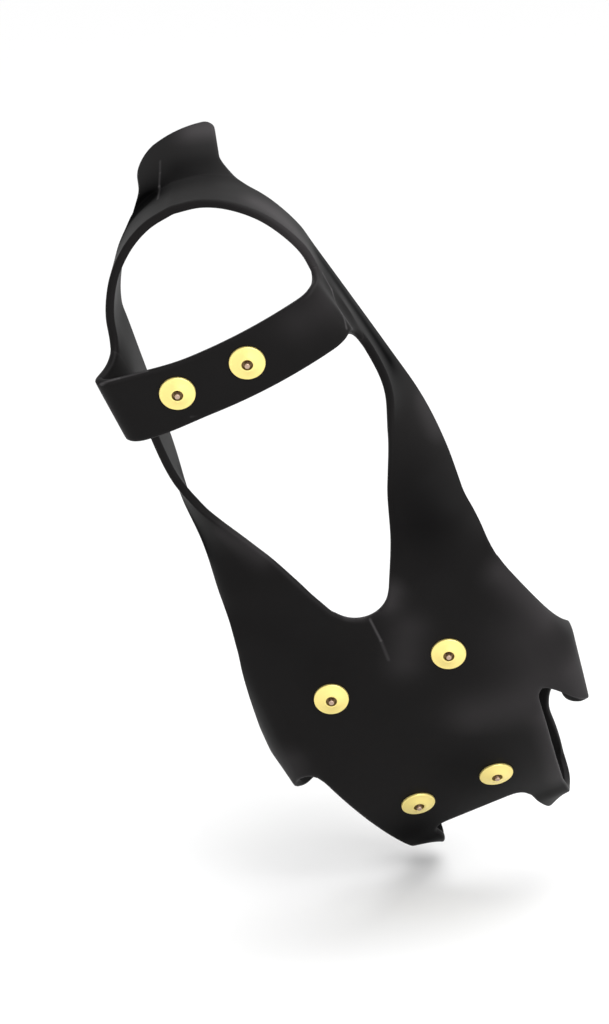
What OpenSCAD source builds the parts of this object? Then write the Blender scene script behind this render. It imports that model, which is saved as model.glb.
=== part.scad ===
// An ice cleat: a one-piece rubber overshoe with six plated studs, drawn stretched to
// the shape it has when worn. Millimetres, +Z up, +Y towards the toe, studs down.
// Sizes along Y count from the line through the two ball studs.

/* [Rubber moulding] */
// Thickness of the rubber
rubber_t = 3; // [2.4:0.1:3.6]

/* [Sole pad] */
// Half width of the flat pad, where the rubber starts to wrap upwards
pad_half_w = 44; // [40:0.5:47]
// Front end of the notch under the instep
notch_front_y = -25.5; // [-30:0.5:-20]
// Radius of the notch's round end
notch_r = 11.5; // [8:0.5:14]
// Angle of each side of the notch from the line of the foot
notch_angle = 24; // [18:1:28]
// Half width of the pad at the rear corners of the side windows
window_half_w = 43; // [40:0.5:44]
// Rear end of the two side windows
window_y = 32; // [28:0.5:36]
// Half width of the pad where the toe ears leave it
ear_outer_x = 32.5; // [29:0.5:35]
// Half width of the toe window
toe_window_half_w = 19; // [16:0.5:22]
// Rear end of the toe window
toe_window_y = 79.5; // [76:0.5:80]
// Sideways place of the toe end of the pad
toe_x = -1.5; // [-4:0.5:4]
// Corner radius of the toe window
toe_window_r = 5; // [3:0.5:5.5]
// Where the toe ears leave the pad
ear_root_y = 85; // [83:0.5:87]
// Where the sole starts to curve up to the toe
spring_y = 7; // [0:0.5:12]
// Radius of the curve up to the toe
spring_r = 140; // [125:1:170]

/* [Toe loop] */
// Half width over the rubber at the ball of the foot
loop_half_w = 59; // [55:0.5:62]
// Sideways place of the loop's top
loop_x = 1; // [-3:0.5:3]
// Rear edge of the loop, where it stands upright beside the foot
loop_y = 18.5; // [12:0.5:22]
// Height of the loop over the toes
loop_top_z = 72; // [66:0.5:80]
// How far the loop's rear edge runs forward from its sides to its top
loop_lag = 15.5; // [12:0.5:18]
// How far the loop's front edge runs forward from the side windows to its top
loop_lead = 28; // [24:0.5:32]
// How much further forward the loop's front edge lies on the right than in the middle
loop_skew = 6; // [0:0.5:8]
// Front end of the toe ears
toe_front_y = 103; // [98:0.5:108]
// Height of the toe ears' front end
toe_front_z = 48; // [44:0.5:54]
// Size of the toe ears' bend round the toe
ear_bend = 8; // [6:0.5:9]

/* [Heel harness] */
// Half width over the rubber at the heel strap
heel_half_w = 39; // [36:0.5:42]
// Rear end of the heel band
heel_back_y = -190; // [-200:0.5:-180]
// Middle of the heel strap
strap_y = -137; // [-140:0.5:-132]
// Width of the heel strap at its two round ends
strap_w = 26; // [22:0.5:30]
// Width of the heel strap under the heel
strap_mid_w = 23; // [21:0.5:26]
// How far the heel strap bows towards the toe under the heel
strap_bow = 2.6; // [1:0.2:4]
// Half width over the heel strap where it turns under the heel
strap_half_w = 44.5; // [42:0.5:46]
// Sideways place of the heel strap's flat under the heel
strap_x = -3.5; // [-4:0.5:4]
// Height of the heel strap's swing axis
strap_axis_z = 15; // [13:0.5:17]
// Lower edge of the heel band at the sides
band_low_side = 18.5; // [18:0.5:22]
// Lower edge of the heel band at the back
band_low_back = 26.5; // [24:0.5:31]
// Upper edge of the heel band at the sides
band_top_side = 36; // [34:0.5:42]
// Upper edge of the heel band at the back
band_top_back = 50; // [46:0.5:56]
// How far the band leans in towards its upper edge
band_lean = 2; // [0:0.5:4]
// Place of the instep fold along the foot
fold_y = -64; // [-68:0.5:-60]
// Height of the instep fold's axis
fold_z = 20; // [18:0.5:22]
// Radius of the arms' round ends at the instep fold
fold_r = 13; // [12.5:0.5:15]
// Half width over the arms at the instep fold
fold_half_w = 48; // [46:0.5:51]
// Height of the arms' upper edge over the fold's axis
fold_up = 11; // [8:0.5:11]
// Depth of the arms' inner edge under the fold's axis
fold_down = 7; // [5:0.5:9]

/* [Pull tab] */
// Width of the pull tab
tab_w = 31; // [26:0.5:34]
// Height of the pull tab above its root
tab_h = 26; // [18:0.5:30]
// Backward lean of the pull tab
tab_lean = 14; // [4:1:24]
// Sideways place of the pull tab
tab_x = 1.5; // [-4:0.5:4]
// Depth of the pull tab's round seat in the heel band's upper edge
tab_seat = 0.3; // [0.2:0.05:0.4]
// Radius of the pull tab's upper corners
tab_corner = 7; // [4:0.5:9]

/* [Studs] */
// Diameter of a stud's flange
flange_d = 12.5; // [11:0.1:14]
// Height of the flange's rim under the rubber
rim_h = 0.9; // [0.6:0.05:1.2]
// Height of the hub's lip under the rubber
lip_h = 2.05; // [1.8:0.05:2.4]
// Diameter of the hub's open socket
socket_d = 3.9; // [3.2:0.1:4.6]
// Depth of the socket from the lip
socket_depth = 1.55; // [1:0.05:1.7]
// Height of the pin's tip under the rubber
tip_h = 3; // [2.7:0.05:3.6]
// Diameter of the hard pin
pin_d = 1.9; // [1.4:0.1:2.4]
// Length of the hard pin
pin_l = 4.4; // [3.8:0.1:4.8]
// Diameter of the shank through the rubber
shank_d = 6; // [5:0.1:6.6]
// Diameter of the riveted head inside
head_d = 8.4; // [7.6:0.1:9]
// Height of the riveted head
head_h = 0.6; // [0.4:0.05:0.8]
// Diameter of the backing washer
washer_d = 10; // [9.4:0.1:11]
// Thickness of the backing washer
washer_t = 0.8; // [0.5:0.05:1]
// Distance between the two ball studs
ball_gap = 45.5; // [40:0.5:52]
// Distance between the two toe studs
toe_gap = 31; // [26:0.5:36]
// Distance between the two heel studs
heel_gap = 26.5; // [22:0.5:32]
// Distance from the ball studs to the toe studs along the foot
toe_stud_y = 62; // [56:0.5:66]
// Sideways place of the forefoot studs
fore_x = -3; // [-6:0.5:6]
// Sideways place of the heel studs
heel_x = -9; // [-10:0.5:10]
// Place of the heel studs in front of the strap's swing axis
heel_stud_y = 0.8; // [0:0.2:2]
// How much further forward the left heel stud is than the right
heel_stud_skew = 0.8; // [0:0.2:2]

/* [Clearances] */
// Gap between rubber zones that bend against each other
bend_gap = 0.3; // [0.2:0.05:0.5]
// Gap between zones of the moulding that meet
seam_gap = 0.1; // [0.05:0.01:0.2]
// Radial gap of the studs and washers in the rubber
stud_gap = 0.05; // [0.02:0.01:0.1]
// Radial gap of the pins in the studs
pin_gap = 0.02; // [0.01:0.01:0.04]

/* [Hidden] */

rubber = "#1d1d20";
gold = "#e8cf62";
carbide = "#b79f94";
steel = "#a8a8ac";

// The pad's outer face stands on the pins, so the tips are at height 0.
pad_z = tip_h;

// The notch's sides are tangent to its round end at this point, and the arms start there.
notch_mid_y = notch_front_y - notch_r;
arm_root = [notch_r * cos(notch_angle), notch_mid_y + notch_r * sin(notch_angle)];

// Rows along the toe spring, and the curve's height and slope at a place along the foot
spring_steps = 14;
function spring_z(y, r = spring_r) = y <= spring_y ? spring_r - r
    : spring_r - sqrt(r * r - (y - spring_y) * (y - spring_y));
function spring_angle(y) = y <= spring_y ? 0 : asin((y - spring_y) / spring_r);

function mix(a, b, t) = a + (b - a) * t;
function unit(v) = v / norm(v);
function across(v, axis) = unit(v - axis * (v * axis));
function mirrored(p) = [-p[0], p[1], p[2]];

// A smooth curve through stations [s, value], where a value is a number or a point
function station_before(p, s) = max([for (k = [0 : len(p) - 2]) if (k == 0 || p[k][0] <= s) k]);
function station_slope(p, k) =
    let (a = max(k - 1, 0), b = min(k + 1, len(p) - 1))
    (p[b][1] - p[a][1]) / (p[b][0] - p[a][0]);
function along(p, s) =
    let (k = station_before(p, s), h = p[k + 1][0] - p[k][0], t = (s - p[k][0]) / h)
    p[k][1] * (2 * t * t * t - 3 * t * t + 1)
    + station_slope(p, k) * h * (t * t * t - 2 * t * t + t)
    + p[k + 1][1] * (3 * t * t - 2 * t * t * t)
    + station_slope(p, k + 1) * h * (t * t * t - t * t);
function bezier(a, b, c, d, t) =
    a * pow(1 - t, 3) + b * 3 * t * pow(1 - t, 2) + c * 3 * t * t * (1 - t) + d * t * t * t;

// A sheet of rubber: a grid of points on its outer face, thickened to the inside.
// An end axis makes that end's face square to the axis.
module sheet(grid, first_axis, last_axis) {
    rows = len(grid);
    cols = len(grid[0]);
    function bare(i, j) =
        cross(grid[min(i + 1, rows - 1)][j] - grid[max(i - 1, 0)][j],
              grid[i][min(j + 1, cols - 1)] - grid[i][max(j - 1, 0)]);
    function inwards(i, j) =
        i == 0 && first_axis != undef ? across(bare(i, j), first_axis)
        : i == rows - 1 && last_axis != undef ? across(bare(i, j), last_axis)
        : unit(bare(i, j));
    outer = [for (i = [0 : rows - 1]) for (j = [0 : cols - 1]) grid[i][j]];
    inner = [for (i = [0 : rows - 1]) for (j = [0 : cols - 1])
        grid[i][j] + rubber_t * inwards(i, j)];
    in = rows * cols;
    function quad(a, b, c, d) = [[a, b, c], [a, c, d]];
    function id(i, j) = i * cols + j;
    cells = [for (i = [0 : rows - 2]) for (j = [0 : cols - 2])
        [id(i, j), id(i + 1, j), id(i + 1, j + 1), id(i, j + 1)]];
    faces = concat(
        [for (c = cells) each quad(c[0], c[1], c[2], c[3])],
        [for (c = cells) each quad(in + c[3], in + c[2], in + c[1], in + c[0])],
        [for (i = [0 : rows - 2]) each quad(id(i, 0), in + id(i, 0), in + id(i + 1, 0), id(i + 1, 0))],
        [for (i = [0 : rows - 2], j = [cols - 1])
            each quad(id(i, j), id(i + 1, j), in + id(i + 1, j), in + id(i, j))],
        [for (j = [0 : cols - 2]) each quad(id(0, j), id(0, j + 1), in + id(0, j + 1), in + id(0, j))],
        [for (j = [0 : cols - 2], i = [rows - 1])
            each quad(id(i, j), in + id(i, j), in + id(i, j + 1), id(i, j + 1))]);
    polyhedron(concat(outer, inner), faces);
}

// Places of the studs on the rubber's outer face, with the slope of the rubber there
function stud_at(place, side) =
    place == "ball" ? [fore_x + side * ball_gap / 2, 0, pad_z + spring_z(0), spring_angle(0)]
    : place == "toe"
    ? [fore_x + side * toe_gap / 2, toe_stud_y, pad_z + spring_z(toe_stud_y), spring_angle(toe_stud_y)]
    : [heel_x + side * heel_gap / 2, strap_y + heel_stud_y - side * heel_stud_skew / 2, pad_z, 0];

module on_stud(place, side) {
    at = stud_at(place, side);
    translate([at[0], at[1], at[2]]) rotate([at[3], 0, 0]) children();
}

// The washer and the riveted head lie flush in the rubber's inner face.
head_sink = 0.1;
head_z = rubber_t - head_sink - head_h;
washer_z = head_z - washer_t;
past = 2;

module stud_hole() {
    translate([0, 0, -past])
        cylinder(d = shank_d + 2 * stud_gap, h = rubber_t + 2 * past, $fn = 48);
    translate([0, 0, washer_z])
        cylinder(d = washer_d + 2 * stud_gap, h = rubber_t + past - washer_z, $fn = 48);
}

rim_round = 0.35;
rim_land = 0.6;
lip_land = 0.35;
pin_root_z = pin_l - tip_h;
socket_z = socket_depth - lip_h;

module stud() {
    color(gold) rotate_extrude($fn = 64) polygon([
        [socket_d / 2, -lip_h],
        [socket_d / 2 + lip_land, -lip_h],
        [flange_d / 2 - rim_land, -rim_h],
        [flange_d / 2, rim_round - rim_h],
        [flange_d / 2, 0],
        [shank_d / 2, 0],
        [shank_d / 2, head_z],
        [head_d / 2, head_z],
        [head_d / 2, head_z + head_h / 2],
        [head_d / 2 - head_h, head_z + head_h],
        [0, head_z + head_h],
        [0, pin_root_z],
        [pin_d / 2 + pin_gap, pin_root_z],
        [pin_d / 2 + pin_gap, socket_z],
        [socket_d / 2, socket_z]]);
}

pin_nose = 0.3;

module pin() {
    color(carbide) rotate_extrude($fn = 48) polygon([
        [0, pin_root_z], [pin_d / 2, pin_root_z], [pin_d / 2, pin_nose - tip_h],
        [pin_d / 2 - pin_nose, -tip_h], [0, -tip_h]]);
}

module washer() {
    color(steel) translate([0, 0, washer_z]) difference() {
        cylinder(d = washer_d, h = washer_t, $fn = 64);
        translate([0, 0, -past])
            cylinder(d = shank_d + 2 * stud_gap, h = washer_t + 2 * past, $fn = 64);
    }
}

// One side of the pad's outline, from the notch round to the toe window
corner_steps = 6;
window_corner = 2.5;
function arc(mid, r, from, to) =
    [for (k = [0 : corner_steps])
        let (a = mix(from, to, k / corner_steps)) mid + r * [cos(a), sin(a)]];
function side_outline(side) =
    let (notch = arc([0, notch_mid_y], notch_r, 90, notch_angle),
         window = [[window_half_w, window_y], [ear_outer_x, ear_root_y],
                   [toe_window_half_w, ear_root_y]],
         toe_mid = [toe_window_half_w - toe_window_r, toe_window_y + toe_window_r],
         toe_corner = arc(toe_mid, toe_window_r, 0, -90))
    concat([for (p = notch) [side * p[0], p[1]]],
           [[side * pad_half_w, arm_root[1]], [side * pad_half_w, window_y - window_corner]],
           [for (p = concat(window, toe_corner)) [toe_x + side * p[0], p[1]]]);

// The pad's section along the foot: flat, then curving up to the toe
function spring_line(r) =
    [for (k = [0 : spring_steps])
        let (y = mix(spring_y, ear_root_y + past, k / spring_steps)) [y, pad_z + spring_z(y, r)]];
function reversed(p) = [for (k = [len(p) - 1 : -1 : 0]) p[k]];

module sole_pad() {
    wide = 2 * pad_half_w + 2 * past;
    color(rubber) difference() {
        intersection() {
            rotate([90, 0, 90]) linear_extrude(wide, center = true) polygon(concat(
                [[arm_root[1] - past, pad_z]], spring_line(spring_r),
                reversed(spring_line(spring_r - rubber_t)), [[arm_root[1] - past, pad_z + rubber_t]]));
            linear_extrude(loop_top_z) polygon(concat(side_outline(1), reversed(side_outline(-1))));
        }
        for (side = [-1, 1]) {
            on_stud("ball", side) stud_hole();
            on_stud("toe", side) stud_hole();
        }
    }
}

// The toe loop rises from the pad's two sides and crosses over the toes. Each station is
// [half width, height, rear edge, front edge, share of the toe spring, share of the skew].
loop_high = loop_top_z - pad_z;
loop_stations = [
    [0, [pad_half_w + seam_gap, pad_z, arm_root[1] + seam_gap, window_y - window_corner, 1, 0]],
    [1, [mix(pad_half_w, loop_half_w, 0.55), pad_z + 0.03 * loop_high,
         arm_root[1] + 0.13 * loop_lag, window_y + 0.15 * loop_lead, 1, 1]],
    [2, [mix(pad_half_w, loop_half_w, 0.93), pad_z + 0.13 * loop_high,
         loop_y - loop_lag, window_y + 0.375 * loop_lead, 0.9, 0.85]],
    [3, [loop_half_w, pad_z + 0.3 * loop_high,
         loop_y - 0.06 * loop_lag, window_y + 0.52 * loop_lead, 0.6, 0.8]],
    [4, [0.95 * loop_half_w, pad_z + 0.54 * loop_high,
         loop_y + 0.55 * loop_lag, window_y + 0.68 * loop_lead, 0.3, 0.5]],
    [5, [0.8 * loop_half_w, pad_z + 0.77 * loop_high,
         loop_y + 0.81 * loop_lag, window_y + 0.84 * loop_lead, 0.1, 0.25]],
    [6, [0.48 * loop_half_w, pad_z + 0.94 * loop_high,
         loop_y + 0.94 * loop_lag, window_y + 0.95 * loop_lead, 0, 0.1]],
    [7, [0, loop_top_z, loop_y + loop_lag, window_y + loop_lead, 0, 0]]];
loop_crown = 7;
toe_taper = 0.0256;
toe_drop = 0.3;
lip_taper = 0.008;
loop_rows = 21;
loop_cols = 8;
// The loop's sideways shift and the narrowing of its rear lip both grow with s.
function loop_shift(s) = loop_x * (s < 2 ? s - s * s / 4 : 1);
function lip_share(s) = min(1, s / 0.8);
function loop_point(s, v, side) =
    let (p = along(loop_stations, s), low = p[4], rear = max(p[2], arm_root[1] + seam_gap),
         y = mix(rear, p[3] + side * loop_skew * p[5], v),
         taper = 1 - toe_taper * max(0, y - loop_y) * low * (1 - low),
         lip = 1 - lip_taper * max(0, loop_y - y) * low * lip_share(s),
         wide = p[0] < pad_half_w ? p[0] : mix(pad_half_w, p[0], lip))
    [side * wide * taper + loop_shift(s), y,
     p[1] + low * spring_z(y) - (1 - low) * toe_drop * (y - loop_y) * s / loop_crown];

module toe_loop() {
    function row(i, side) = [for (j = [0 : loop_cols])
        loop_point(loop_crown * i / loop_rows, j / loop_cols, side)];
    color(rubber) sheet(concat([for (i = [0 : loop_rows]) row(i, 1)],
                               [for (i = [loop_rows - 1 : -1 : 0]) row(i, -1)]),
                        [1, 0, 0], [1, 0, 0]);
}

// A toe ear runs round the toe from the pad to the front edge of the toe loop.
// Each station is [inner x, outer x, inner y, outer y, inner height, outer height].
ear_in_s = 6.35;
ear_out_s = 5.8;
ear_low = pad_z + spring_z(ear_root_y);
ear_rise = pad_z + spring_z(ear_root_y + 0.9 * ear_bend);
function ear_stations(side) =
    let (inner = loop_point(ear_in_s, 1, side), outer = loop_point(ear_out_s, 1, side),
         inner_x = side * (inner[0] - loop_x), outer_x = side * (outer[0] - loop_x),
         in_x = toe_window_half_w, out_x = ear_outer_x, b = ear_bend,
         tip_y = toe_front_y, tip_z = toe_front_z, root_y = ear_root_y + seam_gap)
    [[0, [in_x, out_x, root_y, root_y, ear_low, ear_low]],
     [1, [in_x, out_x - 0.12 * b, ear_root_y + b, ear_root_y + 0.75 * b, ear_rise, ear_rise]],
     [2, [in_x + 0.1 * b, out_x - 0.25 * b, tip_y - 0.25 * b, tip_y - b, tip_z - 0.9 * b, tip_z - 0.9 * b]],
     [3, [in_x + 0.4 * b, out_x - 0.25 * b, tip_y, tip_y - 0.8 * b, tip_z + 0.25 * b, tip_z + 0.25 * b]],
     [4, [in_x + 0.45 * b, out_x - 0.25 * b, tip_y - 0.9 * b, tip_y - 1.6 * b,
          tip_z + 1.2 * b, tip_z + 1.1 * b]],
     [5, [mix(in_x, inner_x, 0.5), mix(out_x, outer_x, 0.6), mix(tip_y, inner[1], 0.55),
          mix(tip_y, outer[1], 0.62), mix(tip_z, inner[2], 0.85), mix(tip_z, outer[2], 0.85)]],
     [6, [inner_x, outer_x, inner[1] + seam_gap, outer[1] + seam_gap, inner[2], outer[2]]]];
ear_rows = 24;
ear_cols = 4;

module toe_ear(side) {
    stations = ear_stations(side);
    grid = [for (i = [0 : ear_rows]) [for (j = [0 : ear_cols])
        let (p = along(stations, 6 * i / ear_rows), v = side > 0 ? 1 - j / ear_cols : j / ear_cols)
        [mix(toe_x, loop_x, i / ear_rows) + side * mix(p[0], p[1], v),
         mix(p[2], p[3], v), mix(p[4], p[5], v)]]];
    color(rubber) sheet(grid, [0, 1, 0], [0, 1, 0]);
}

// The arms and the heel band share one run of stations from the pad round to the back:
// [lower edge, upper edge, fullness of the curve between them].
heel_round = 12;
heel_mid_y = strap_y - heel_round;
heel_deep = heel_mid_y - heel_back_y;
root_lip = [5, 6.5];
root_out = [pad_half_w + root_lip[0], arm_root[1], pad_z + root_lip[1]];
fold_in_x = arm_root[0] + (arm_root[1] - fold_y) * tan(notch_angle);
fold_low_z = fold_z - fold_down;
fold_top_z = fold_z + fold_up;
function heel_row(a) =
    let (low = mix(band_low_back, band_low_side, pow(sin(a), 2)),
         top = mix(band_top_back, band_top_side, pow(sin(a), 2)))
    [[heel_half_w * sin(a), heel_mid_y - heel_deep * cos(a), low],
     [(heel_half_w - band_lean) * sin(a), heel_mid_y - (heel_deep - band_lean) * cos(a), top], 0.1];
half_way_y = mix(arm_root[1], fold_y, 0.5);
quarter_y = mix(fold_y, strap_y, 0.25);
waist_y = mix(fold_y, strap_y, 0.55);
side_rows = concat([
    [[arm_root[0], arm_root[1], pad_z], root_out, 1],
    [[mix(arm_root[0], fold_in_x, 0.55), half_way_y, mix(pad_z, fold_low_z, 0.4)],
     [mix(root_out[0], fold_half_w, 0.7), half_way_y, mix(root_out[2], fold_top_z, 0.3)], 0.9],
    [[fold_in_x, fold_y, fold_low_z], [fold_half_w, fold_y, fold_top_z], 0.6],
    [[mix(fold_in_x, heel_half_w, 0.67), quarter_y, mix(fold_low_z, band_low_side, 0.8)],
     [mix(fold_half_w, heel_half_w, 0.12), quarter_y, mix(fold_top_z, band_top_side, 0.9)], 0.4],
    [[mix(fold_half_w, heel_half_w, 0.64), waist_y, mix(fold_low_z, band_low_side, 1.2)],
     [mix(fold_half_w, heel_half_w, 0.52), waist_y, mix(fold_top_z, band_top_side, 1.3)], 0.2]],
    [for (a = [90, 70, 50, 32, 16, 0]) heel_row(a)]);
back_row = len(side_rows) - 1;
lower = [for (k = [0 : back_row]) [k, side_rows[k][0]]];
upper = [for (k = [0 : back_row]) [k, side_rows[k][1]]];
fullness = [for (k = [0 : back_row]) [k, side_rows[k][2]]];

function side_point(s, v) =
    let (a = along(lower, s), b = along(upper, s), f = along(fullness, s),
         corner = [b[0], (a[1] + b[1]) / 2, a[2]],
         low = mix(mix(a, b, 1 / 3), mix(a, corner, 2 / 3), f),
         high = mix(mix(a, b, 2 / 3), mix(b, corner, 2 / 3), f))
    bezier(a, low, high, b, v);

side_cols = 6;
rows_a_station = 4;
function side_strip(from, to) =
    [for (i = [0 : (to - from) * rows_a_station]) [for (j = [0 : side_cols])
        side_point(from + i / rows_a_station, j / side_cols)]];
function flipped(grid) = [for (row = reversed(grid)) [for (p = row) mirrored(p)]];

// Everything in front of the fold, with the arms' round ends
module front_of_fold(r) {
    long = 4 * loop_half_w;
    translate([0, fold_y, fold_z]) rotate([0, 90, 0]) cylinder(r = r, h = long, center = true, $fn = 96);
    translate([-long / 2, fold_y, -long / 2]) cube([long, long, long]);
}

arm_end_s = 4;
module arm(side) {
    strip = side_strip(0, arm_end_s);
    root = concat([[for (p = strip[0]) p - [0, seam_gap, 0]]], [for (i = [1 : len(strip) - 1]) strip[i]]);
    color(rubber) intersection() {
        if (side > 0) sheet(root, [0, 1, 0]);
        else sheet(flipped(root), undef, [0, 1, 0]);
        front_of_fold(fold_r);
    }
}

// The pull tab's axis, in a shallow round seat along the band's upper edge
tab_root = [0, heel_back_y + band_lean + rubber_t / 2,
            band_top_back + rubber_t / 2 + bend_gap - tab_seat];
band_start_s = 1;
module heel_band() {
    right = side_strip(band_start_s, back_row);
    left = flipped([for (i = [0 : len(right) - 2]) right[i]]);
    color(rubber) difference() {
        sheet(concat(right, left));
        front_of_fold(fold_r + bend_gap);
        translate([0, strap_y, strap_axis_z]) rotate([0, 90, 0])
            cylinder(d = strap_w + 2 * bend_gap, h = 4 * heel_half_w, center = true, $fn = 96);
        translate(tab_root) rotate([0, 90, 0])
            cylinder(d = rubber_t + 2 * bend_gap, h = tab_w, center = true, $fn = 48);
    }
}

// The heel strap hangs from its two round ends and crosses flat under the heel, bowed towards the toe.
strap_s = 4.75;
strap_side = side_point(strap_s, 0);
strap_top = side_point(strap_s, 0.6);
// The strap's turn under the heel: where it starts and where it ends.
turn_up = 5;
turn_start_in = 0.8;
turn_end_in = 7;
function strap_stations(side) = [
    [0, [side * strap_top[0], strap_top[2]]],
    [1, [side * strap_side[0], strap_axis_z]],
    [2, [strap_x + side * (strap_half_w - turn_start_in), pad_z + turn_up]],
    [3, [strap_x + side * (strap_half_w - turn_end_in), pad_z]],
    [4, [strap_x + side * strap_half_w / 3, pad_z]],
    [5, [strap_x, pad_z]]];
strap_rows = 20;
strap_cols = 2;
// The bow's foremost place and its curve
bow_x = -14;
bow_curve = 0.0025;
// The bow starts at this station, below the round ends, and grows over the next ones.
bow_from_s = 1.4;
bow_run = 1.2;
// The left half keeps its end's width up to this station.
left_full_s = 2.5;
function bow_y(x) = strap_bow - bow_curve * pow(x - bow_x, 2);

module heel_strap() {
    function row(side, i) =
        let (s = 5 * i / strap_rows, p = along(strap_stations(side), s),
             under = min(1, max(0, s - bow_from_s) / bow_run),
             narrow = side > 0 ? under : min(1, max(0, s - left_full_s)),
             middle = strap_y + under * bow_y(p[0]), wide = mix(strap_w, strap_mid_w, narrow))
        [for (j = [0 : strap_cols])
            [p[0], middle + wide * (j / strap_cols - 0.5), max(pad_z, p[1])]];
    color(rubber) difference() {
        sheet(concat([for (i = [0 : strap_rows - 1]) row(-1, i)],
                     [for (i = [strap_rows : -1 : 0]) row(1, i)]));
        difference() {
            translate([-2 * heel_half_w, strap_y - strap_w, strap_axis_z])
                cube([4 * heel_half_w, 2 * strap_w, band_top_back]);
            translate([0, strap_y, strap_axis_z]) rotate([0, 90, 0])
                cylinder(d = strap_w, h = 5 * heel_half_w, center = true, $fn = 96);
        }
        for (side = [-1, 1]) on_stud("heel", side) stud_hole();
    }
}

// The pull tab stands on the middle of the heel band's upper edge and keeps its curve.
tab_r = heel_half_w * heel_half_w / heel_deep;

module tab_outline() {
    translate([-tab_w / 2, -rubber_t]) square([tab_w, rubber_t + tab_h - tab_corner]);
    translate([-tab_w / 2 + tab_corner, -rubber_t]) square([tab_w - 2 * tab_corner, rubber_t + tab_h]);
    for (side = [-1, 1])
        translate([side * (tab_w / 2 - tab_corner), tab_h - tab_corner]) circle(tab_corner, $fn = 48);
}

module pull_tab() {
    color(rubber) translate(tab_root) rotate([tab_lean, 0, 0]) intersection() {
        translate([0, tab_r, 0]) rotate_extrude($fn = 96) union() {
            translate([tab_r - rubber_t / 2, 0]) square([rubber_t, tab_h]);
            translate([tab_r, 0]) circle(d = rubber_t, $fn = 48);
        }
        translate([tab_x, tab_r / 2, 0]) rotate([90, 0, 0]) linear_extrude(tab_r) tab_outline();
    }
}

// The frame's origin is under the middle of the whole cleat.
tail_y = tab_root[1] - tab_h * sin(tab_lean) - rubber_t / 2;
module placed() {
    translate([-loop_x, -(toe_front_y + tail_y) / 2, 0]) children();
}

placed() sole_pad();
placed() toe_loop();
placed() toe_ear(-1);  // left_toe_ear
placed() toe_ear(1);  // right_toe_ear
placed() arm(-1);  // left_arm
placed() arm(1);  // right_arm
placed() heel_band();
placed() heel_strap();
placed() pull_tab();
for (place = ["ball", "toe", "heel"], side = [-1, 1]) {
    name = str(side < 0 ? "left_" : "right_", place);
    placed() on_stud(place, side) stud();
    placed() on_stud(place, side) pin();
    placed() on_stud(place, side) washer();
}
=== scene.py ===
import math

import bmesh
import bpy
import numpy as np
from mathutils import Matrix, Vector


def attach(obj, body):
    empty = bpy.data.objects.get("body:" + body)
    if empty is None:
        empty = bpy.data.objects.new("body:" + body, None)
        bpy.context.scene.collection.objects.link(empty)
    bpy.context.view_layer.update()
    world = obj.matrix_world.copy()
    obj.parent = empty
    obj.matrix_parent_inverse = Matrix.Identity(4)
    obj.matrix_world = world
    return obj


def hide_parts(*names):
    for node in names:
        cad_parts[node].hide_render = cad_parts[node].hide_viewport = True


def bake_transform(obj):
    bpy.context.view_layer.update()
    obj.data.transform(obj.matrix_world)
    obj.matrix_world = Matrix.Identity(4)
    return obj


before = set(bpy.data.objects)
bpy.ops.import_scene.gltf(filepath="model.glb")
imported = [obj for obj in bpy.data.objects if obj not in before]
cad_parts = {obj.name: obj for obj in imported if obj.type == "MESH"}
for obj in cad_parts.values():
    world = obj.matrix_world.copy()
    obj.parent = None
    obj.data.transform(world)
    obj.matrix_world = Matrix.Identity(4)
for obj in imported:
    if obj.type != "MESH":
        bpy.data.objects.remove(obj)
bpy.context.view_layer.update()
print("frame loaded:", len(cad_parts), "nodes")

mm = 0.001
ballLine = (-1.0, 45.645, 0.0)  # the middle of the ball studs' line, from which lengths count


def place(points):
    # millimetres from the ball line to metres in the part's frame
    return (np.asarray(points, float) + ballLine) * mm


def mix(a, b, t):
    # straight from a at 0 to b at 1
    return a + (b - a) * t


def ease(t):
    # smooth step: three t squared less two t cubed, between 0 and 1
    t = np.clip(t, 0.0, 1.0)
    return t * t * (3.0 - 2.0 * t)


def hump(s, rise, end, fall):
    # eases up over the first stretch and down again over the last one before the end
    return ease(s / rise) * ease((end - s) / fall)


def along(stations, s):
    # cubic through evenly spaced stations, each slope taken from its two neighbours
    p = np.asarray(stations, float)
    slope = np.gradient(p, axis=0)
    k = np.clip(np.floor(s).astype(int), 0, len(p) - 2)
    t = (np.asarray(s, float) - k)[..., None]
    return (p[k] * (2 * t**3 - 3 * t**2 + 1) + slope[k] * (t**3 - 2 * t**2 + t)
            + p[k + 1] * (3 * t**2 - 2 * t**3) + slope[k + 1] * (t**3 - t**2))


def joined(*parts):
    # runs of samples end to end, each run's first sample being the last one's end
    return np.concatenate([parts[0]] + [p[1:] for p in parts[1:]])


def runLength(points):
    # distance covered along a line of points, from 0 at the first
    return np.concatenate([[0], np.cumsum(np.linalg.norm(np.diff(points, axis=0), axis=1))])


# the flat pad, with the notch behind, a window on each side and the toe window in front
pad = dict(
    thick=3.0, z=3.0, halfW=44.0, springY=7.0, springR=140.0, notchFront=-25.5, notchR=11.5, notchAngle=24.0,
    cornerY=29.5, windowY=32.0, windowHalfW=43.0,
    rightBack=2.2, rightFade=16.0,  # the right window starts further back
    earOuter=32.5, frontY=85.0, toeX=-1.5, toeHalfW=19.0, toeWindowY=79.5, toeR=5.0, toeSteps=7,
    toeShare=(0.6, 0.94),  # share of the toe window's depth at its left and right ends
    sideCols=12, midCols=14, loopRows=26, windowRows=22)
notchMid = pad["notchFront"] - pad["notchR"]
rootX = pad["notchR"] * math.cos(math.radians(pad["notchAngle"]))
rootY = notchMid + pad["notchR"] * math.sin(math.radians(pad["notchAngle"]))


def springZ(y):
    # height of a circle's arc that leaves the flat at springY
    past = np.maximum(np.asarray(y, float) - pad["springY"], 0.0)
    return pad["springR"] - np.sqrt(pad["springR"] ** 2 - past**2)


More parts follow.
